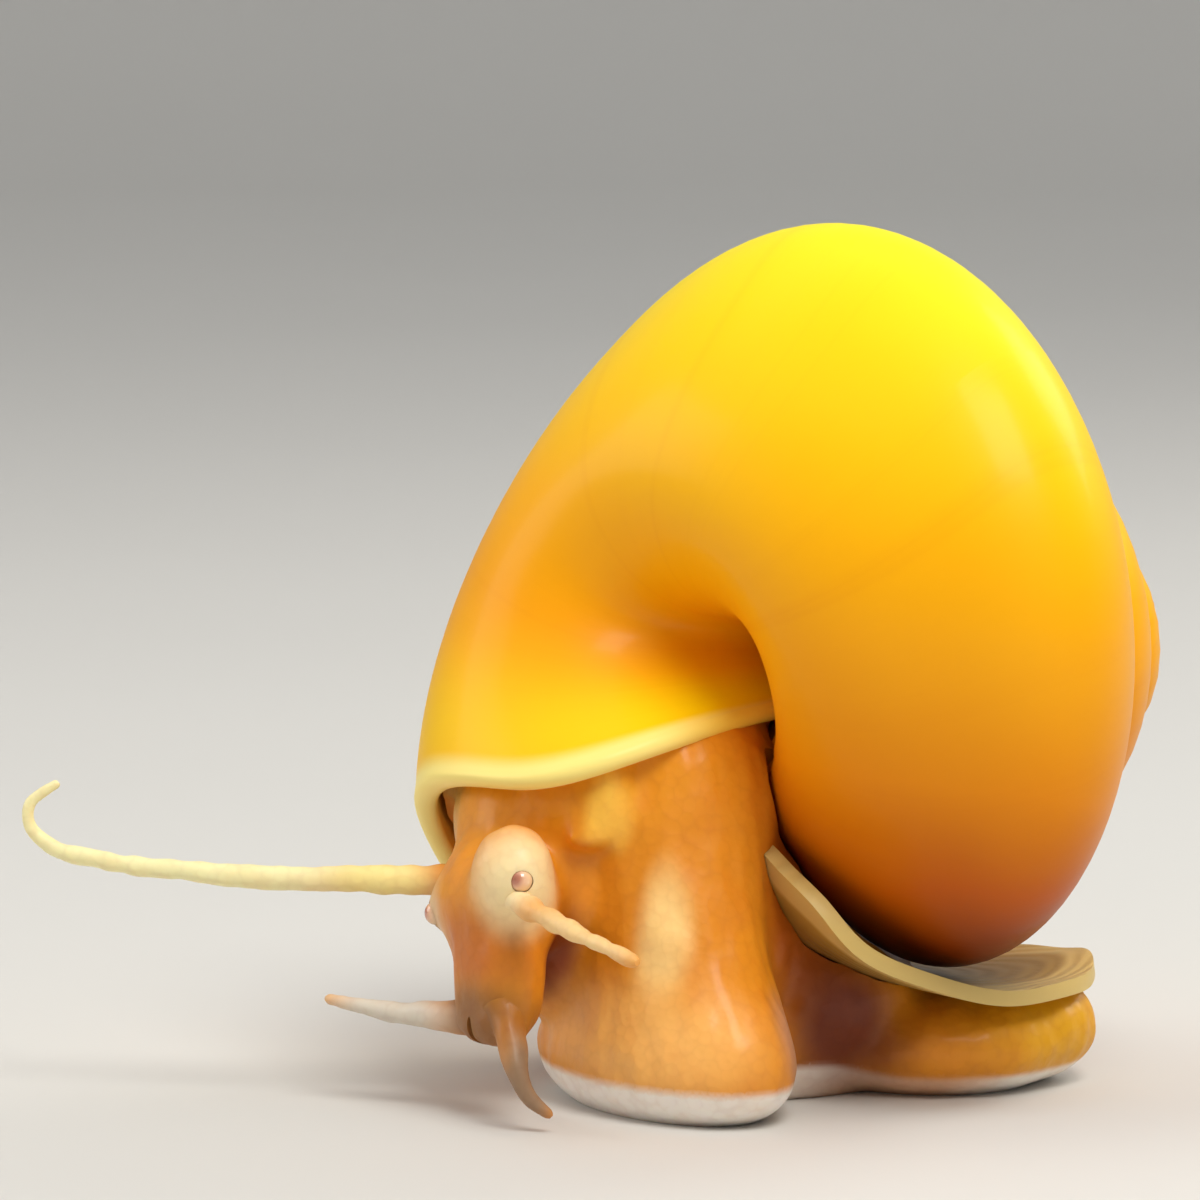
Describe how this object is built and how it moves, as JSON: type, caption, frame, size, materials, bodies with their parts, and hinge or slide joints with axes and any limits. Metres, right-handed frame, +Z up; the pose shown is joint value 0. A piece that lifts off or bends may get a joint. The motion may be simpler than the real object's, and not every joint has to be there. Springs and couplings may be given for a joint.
{
  "type": "apple snail",
  "caption": "Crawling apple snail at life size: glossy golden coiled shell, brown operculum on the tail, orange soft body with long tentacles and short palps.",
  "frame": {"origin": "on the sole, between its front and tail ends, at the level that the snail rests on", "axes": "+Z up; -Y the way the snail faces; +X its left side"},
  "size_m": [0.0423, 0.0528, 0.0435],
  "materials": {
    "shell": "glossy, smooth, golden yellow to dark orange",
    "operculum": "horny, brown, satin, with a pale edge",
    "flesh": "moist orange skin, pale at the sole's edge",
    "eye": "glossy dark"
  },
  "bodies": {
    "root": {"shell": "shell", "operculum": "operculum", "eye_left": "eye", "eye_right": "eye", "mantle": "flesh", "head": "flesh", "neck": "flesh", "column": "flesh", "foot_front": "flesh", "foot_middle": "flesh", "foot_tail": "flesh", "eye_stalk_left": "flesh", "eye_stalk_right": "flesh", "palp_left": "flesh", "palp_right": "flesh", "tentacle_left_base": "flesh", "tentacle_left_tip": "flesh", "tentacle_right_base": "flesh", "tentacle_right_middle": "flesh", "tentacle_right_tip": "flesh"}
  },
  "joints": []
}
